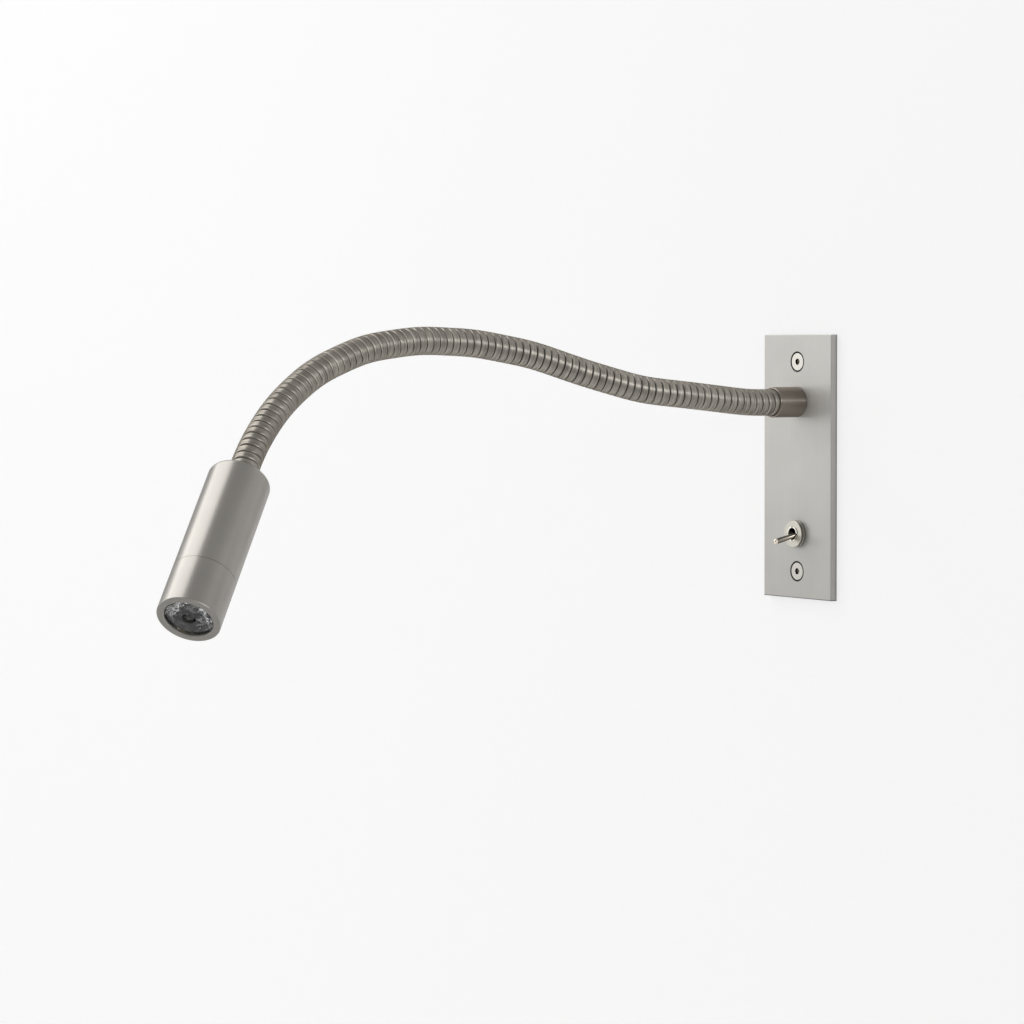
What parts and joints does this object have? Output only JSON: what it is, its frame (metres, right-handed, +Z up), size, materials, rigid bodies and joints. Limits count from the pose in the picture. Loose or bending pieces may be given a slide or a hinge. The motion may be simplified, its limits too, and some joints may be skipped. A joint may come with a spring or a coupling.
{
  "type": "gooseneck wall sconce",
  "caption": "Slim wall reading light: flat rectangular plate with toggle switch, ribbed flexible neck and a small cylindrical head with a clear lens.",
  "frame": {"origin": "centre of the wall plate's back face", "axes": "+X to the right for someone facing the lamp, +Y into the wall, +Z up"},
  "size_m": [0.0764, 0.3579, 0.1136],
  "materials": {
    "satin_plate": "satin nickel plate with a fine vertical grain",
    "satin_head": "satin nickel plate over turned aluminium",
    "satin_collar": "satin nickel, darker than the plate",
    "neck_steel": "satin nickel on wound steel strip",
    "nickel_screw": "bright warm nickel",
    "switch_nut": "machined nickel",
    "bright_nickel": "polished nickel",
    "zinc_steel": "zinc plate",
    "brass_thread": "plain turned brass",
    "silvered_copper": "silvered copper",
    "plain_aluminium": "turned aluminium",
    "board_white": "white solder mask on a metal core",
    "emitter_dome": "clear dome over yellow phosphor",
    "clear_lens": "clear moulded optic",
    "black_plastic": "black moulding",
    "white_plastic": "natural nylon",
    "black_rubber": "soft black ring",
    "cable_sheath": "pale grey sheath",
    "wire_sheath": "red insulation"
  },
  "bodies": {
    "wall_unit": {"wall_plate": "satin_plate", "fixing_screws": "nickel_screw", "neck_collar": "satin_collar", "neck_nipple": "brass_thread", "neck_washer": "zinc_steel", "neck_nut": "zinc_steel", "switch_bushing": "bright_nickel", "switch_face_washer": "switch_nut", "switch_dress_nut": "switch_nut", "switch_lock_ring": "zinc_steel", "switch_back_nut": "zinc_steel", "switch_frame": "zinc_steel", "switch_case": "black_plastic", "switch_terminals": "silvered_copper", "switch_jumper": "wire_sheath", "neck_cable": "cable_sheath", "neck_link_01": "neck_steel"},
    "neck_02": {"neck_link_02": "neck_steel"},
    "neck_03": {"neck_link_03": "neck_steel"},
    "neck_04": {"neck_link_04": "neck_steel"},
    "neck_05": {"neck_link_05": "neck_steel"},
    "neck_06": {"neck_link_06": "neck_steel"},
    "neck_07": {"neck_link_07": "neck_steel"},
    "neck_08": {"neck_link_08": "neck_steel"},
    "neck_09": {"neck_link_09": "neck_steel"},
    "neck_10": {"neck_link_10": "neck_steel"},
    "neck_11": {"neck_link_11": "neck_steel"},
    "neck_12": {"neck_link_12": "neck_steel"},
    "neck_13": {"neck_link_13": "neck_steel"},
    "neck_14": {"neck_link_14": "neck_steel"},
    "neck_15": {"neck_link_15": "neck_steel"},
    "neck_16": {"neck_link_16": "neck_steel"},
    "neck_17": {"neck_link_17": "neck_steel"},
    "neck_18": {"neck_link_18": "neck_steel"},
    "neck_19": {"neck_link_19": "neck_steel"},
    "neck_20": {"neck_link_20": "neck_steel"},
    "neck_21": {"neck_link_21": "neck_steel"},
    "lamp_head": {"neck_link_22": "neck_steel", "neck_stud": "brass_thread", "head_lock_washer": "zinc_steel", "head_lock_nut": "zinc_steel", "head_shell": "satin_head", "heat_sink": "plain_aluminium", "led_board": "board_white", "board_screws": "zinc_steel", "led_emitter": "emitter_dome", "led_leads": "wire_sheath", "lens_holder": "black_plastic", "lens": "clear_lens", "lens_gasket": "black_rubber", "front_barrel": "satin_head"},
    "toggle": {"switch_lever": "bright_nickel", "switch_plunger": "white_plastic", "switch_spring": "zinc_steel"},
    "rocker": {"switch_rocker": "silvered_copper"}
  },
  "joints": [
    {"name": "neck_bend_01", "type": "hinge", "parent": "wall_unit", "child": "neck_02", "pos_m": [0, -0.0294, 0.027], "axis": [-1, 0, 0], "range_deg": [-21.63, 8.63], "deforming": ["neck_cable"]},
    {"name": "neck_bend_02", "type": "hinge", "parent": "neck_02", "child": "neck_03", "pos_m": [0, -0.04251, 0.02849], "axis": [0, 0.1132, 0.9936], "range_deg": [-11.13, 19.13], "deforming": ["neck_cable"]},
    {"name": "neck_bend_03", "type": "hinge", "parent": "neck_03", "child": "neck_04", "pos_m": [-0.00092, -0.0556, 0.02999], "axis": [-0.9976, 0.0693, -0.0079], "range_deg": [-14.63, 15.63], "deforming": ["neck_cable"]},
    {"name": "neck_bend_04", "type": "hinge", "parent": "neck_04", "child": "neck_05", "pos_m": [-0.00184, -0.06869, 0.03136], "axis": [-0.0006, 0.1046, 0.9945], "range_deg": [-10.13, 20.13], "deforming": ["neck_cable"]},
    {"name": "neck_bend_05", "type": "hinge", "parent": "neck_05", "child": "neck_06", "pos_m": [-0.00391, -0.08166, 0.03272], "axis": [-0.9877, 0.1555, -0.017], "range_deg": [-24.13, 6.13], "deforming": ["neck_cable"]},
    {"name": "neck_bend_06", "type": "hinge", "parent": "neck_06", "child": "neck_07", "pos_m": [-0.00595, -0.09425, 0.03612], "axis": [0.0239, 0.2569, 0.9661], "range_deg": [-15.63, 14.63], "deforming": ["neck_cable"]},
    {"name": "neck_bend_07", "type": "hinge", "parent": "neck_07", "child": "neck_08", "pos_m": [-0.00787, -0.10686, 0.03952], "axis": [-0.989, 0.1472, -0.0147], "range_deg": [-17.63, 12.63], "deforming": ["neck_cable"]},
    {"name": "neck_bend_08", "type": "hinge", "parent": "neck_08", "child": "neck_09", "pos_m": [-0.00979, -0.11931, 0.04348], "axis": [0.0302, 0.2983, 0.954], "range_deg": [-17.13, 13.13], "deforming": ["neck_cable"]},
    {"name": "neck_bend_09", "type": "hinge", "parent": "neck_09", "child": "neck_10", "pos_m": [-0.01124, -0.13182, 0.04743], "axis": [-0.9935, 0.1142, -0.0042], "range_deg": [-7.63, 22.63], "deforming": ["neck_cable"]},
    {"name": "neck_bend_10", "type": "hinge", "parent": "neck_10", "child": "neck_11", "pos_m": [-0.01273, -0.14473, 0.04971], "axis": [0.0156, 0.1721, 0.985], "range_deg": [-19.13, 11.13], "deforming": ["neck_cable"]},
    {"name": "neck_bend_11", "type": "hinge", "parent": "neck_11", "child": "neck_12", "pos_m": [-0.01331, -0.15772, 0.05199], "axis": [-0.9989, 0.0456, 0.0078], "range_deg": [-7.63, 22.63], "deforming": ["neck_cable"]},
    {"name": "neck_bend_12", "type": "hinge", "parent": "neck_12", "child": "neck_13", "pos_m": [-0.01391, -0.17089, 0.05255], "axis": [-0.0097, -0.0422, -0.9991], "range_deg": [-8.63, 21.63], "deforming": ["neck_cable"]},
    {"name": "neck_bend_13", "type": "hinge", "parent": "neck_13", "child": "neck_14", "pos_m": [-0.01301, -0.18405, 0.0531], "axis": [0.9976, 0.0676, -0.0126], "range_deg": [-24.13, 6.13], "deforming": ["neck_cable"]},
    {"name": "neck_bend_14", "type": "hinge", "parent": "neck_14", "child": "neck_15", "pos_m": [-0.01214, -0.19714, 0.05158], "axis": [-0.0203, 0.1143, -0.9932], "range_deg": [-13.13, 17.13], "deforming": ["neck_cable"]},
    {"name": "neck_bend_15", "type": "hinge", "parent": "neck_15", "child": "neck_16", "pos_m": [-0.01081, -0.21018, 0.05005], "axis": [0.9947, 0.1022, -0.0086], "range_deg": [-27.63, 2.63], "deforming": ["neck_cable"]},
    {"name": "neck_bend_16", "type": "hinge", "parent": "neck_16", "child": "neck_17", "pos_m": [-0.00958, -0.22259, 0.04572], "axis": [-0.0416, 0.3254, -0.9447], "range_deg": [-9.63, 20.63], "deforming": ["neck_cable"]},
    {"name": "neck_bend_17", "type": "hinge", "parent": "neck_17", "child": "neck_18", "pos_m": [-0.00709, -0.23481, 0.0414], "axis": [0.9812, 0.1918, 0.0229], "range_deg": [-27.13, 3.13], "deforming": ["neck_cable"]},
    {"name": "neck_bend_18", "type": "hinge", "parent": "neck_18", "child": "neck_19", "pos_m": [-0.00477, -0.24587, 0.03458], "axis": [-0.0799, 0.5108, -0.856], "range_deg": [-5.13, 25.13], "deforming": ["neck_cable"]},
    {"name": "neck_bend_19", "type": "hinge", "parent": "neck_19", "child": "neck_20", "pos_m": [-0.00023, -0.25633, 0.02792], "axis": [0.9357, 0.3344, 0.1123], "range_deg": [-23.63, 6.63], "deforming": ["neck_cable"]},
    {"name": "neck_bend_20", "type": "hinge", "parent": "neck_20", "child": "neck_21", "pos_m": [0.0041, -0.26567, 0.01966], "axis": [-0.1298, 0.6223, -0.772], "range_deg": [-7.63, 22.63], "deforming": ["neck_cable"]},
    {"name": "neck_bend_21", "type": "hinge", "parent": "neck_21", "child": "lamp_head", "pos_m": [0.01001, -0.27436, 0.01167], "axis": [0.8849, 0.4239, 0.193], "range_deg": [-22.63, 7.63], "deforming": ["neck_cable"]},
    {"name": "toggle_throw", "type": "hinge", "parent": "wall_unit", "child": "toggle", "pos_m": [0, -0.0016, -0.028], "axis": [-1, 0, 0], "range_deg": [0, 25]},
    {"name": "rocker_tilt", "type": "hinge", "parent": "wall_unit", "child": "rocker", "pos_m": [0, 0.0082, -0.028], "axis": [1, 0, 0], "range_deg": [0, 12]}
  ],
  "couplings": [
    {"joint": "rocker_tilt", "follows": "toggle_throw", "ratio": 0.48}
  ]
}
